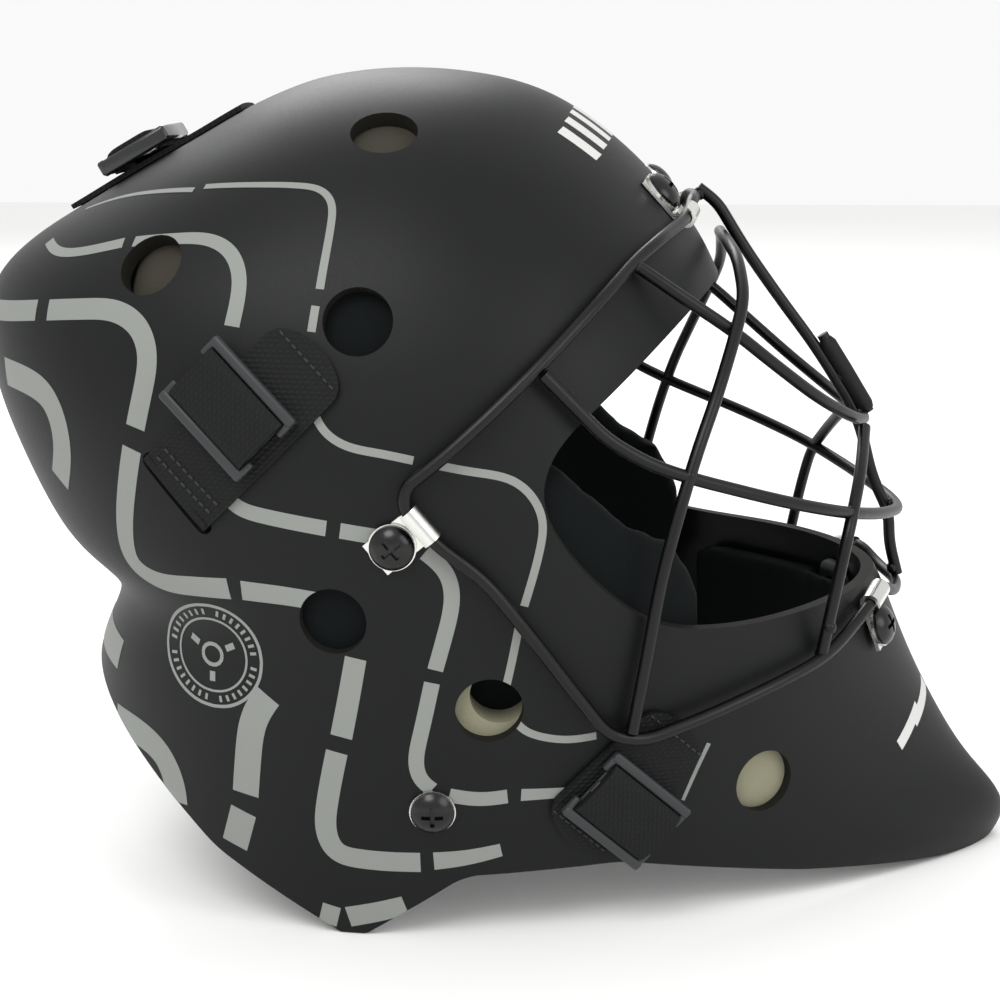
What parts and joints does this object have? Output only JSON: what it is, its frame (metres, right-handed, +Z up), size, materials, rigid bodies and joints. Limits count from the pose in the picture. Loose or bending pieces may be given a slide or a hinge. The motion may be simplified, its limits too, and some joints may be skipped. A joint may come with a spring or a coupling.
{
  "type": "goalkeeper mask",
  "caption": "Full-shell field goalkeeper mask: moulded black shell, welded wire face cage held by steel clips, padded liner, strap slots and sliding strap buckles.",
  "frame": {"origin": "under the middle of the mask, on the plane that the two jaw wings and the chin stand on", "axes": "+X forward out of the face, +Y to the wearer's left, +Z up"},
  "size_m": [0.3362, 0.2358, 0.2562],
  "materials": {
    "shell": "satin black moulded composite",
    "liner_foam": "black fabric over foam",
    "cage_wire": "satin black powder coat",
    "clip_steel": "bright rolled stainless strip",
    "washer_steel": "polished stainless",
    "screw_black": "gloss black",
    "nut_steel": "zinc plated",
    "slider_plastic": "moulded black acetal",
    "webbing": "black woven webbing"
  },
  "bodies": {
    "mask": {"cage_brow_wire": "cage_wire", "cage_centre_wire": "cage_wire", "cage_cheek_wire_left": "cage_wire", "cage_cheek_wire_right": "cage_wire", "cage_frame": "cage_wire", "cage_lower_hoop": "cage_wire", "cage_nose_wire": "cage_wire", "cage_upper_hoop": "cage_wire", "cheek_pad_left": "liner_foam", "cheek_pad_right": "liner_foam", "chin_clip_left": "clip_steel", "chin_clip_right": "clip_steel", "chin_pad": "liner_foam", "clip_screws": "screw_black", "clip_tee_nuts": "nut_steel", "clip_washers": "washer_steel", "crown_pad": "liner_foam", "crown_strap": "webbing", "forehead_clip_left": "clip_steel", "forehead_clip_right": "clip_steel", "forehead_pad": "liner_foam", "jaw_screws": "screw_black", "jaw_strap_left": "webbing", "jaw_strap_right": "webbing", "jaw_tee_nuts": "nut_steel", "jaw_washers": "washer_steel", "nape_pad": "liner_foam", "rear_pad": "liner_foam", "shell": "shell", "side_strap_left": "webbing", "side_strap_right": "webbing", "temple_clip_left": "clip_steel", "temple_clip_right": "clip_steel", "temple_pad_left": "liner_foam", "temple_pad_right": "liner_foam"},
    "side_slider_left": {"side_slider_left": "slider_plastic", "side_webbing_fold_left": "webbing"},
    "side_slider_right": {"side_slider_right": "slider_plastic", "side_webbing_fold_right": "webbing"},
    "jaw_slider_left": {"jaw_slider_left": "slider_plastic", "jaw_webbing_fold_left": "webbing"},
    "jaw_slider_right": {"jaw_slider_right": "slider_plastic", "jaw_webbing_fold_right": "webbing"},
    "crown_buckle": {"crown_buckle": "slider_plastic", "crown_webbing_fold": "webbing"}
  },
  "joints": [
    {"name": "side_slider_left_travel", "type": "hinge", "parent": "mask", "child": "side_slider_left", "pos_m": [-0.05046, -0.00258, 0.14927], "axis": [0.6868, 0.238, -0.6868], "range_deg": [-4, 4]},
    {"name": "side_slider_right_travel", "type": "hinge", "parent": "mask", "child": "side_slider_right", "pos_m": [-0.05046, 0.00258, 0.14927], "axis": [-0.6868, 0.238, 0.6868], "range_deg": [-4, 4]},
    {"name": "jaw_slider_left_travel", "type": "slide", "parent": "mask", "child": "jaw_slider_left", "axis": [0.673, -0.1125, 0.731], "range_m": [-0.006, 0]},
    {"name": "jaw_slider_right_travel", "type": "slide", "parent": "mask", "child": "jaw_slider_right", "axis": [0.673, 0.1125, 0.731], "range_m": [-0.006, 0]},
    {"name": "crown_buckle_travel", "type": "slide", "parent": "mask", "child": "crown_buckle", "axis": [0.866, 0, 0.5], "range_m": [-0.004, 0.008]}
  ]
}
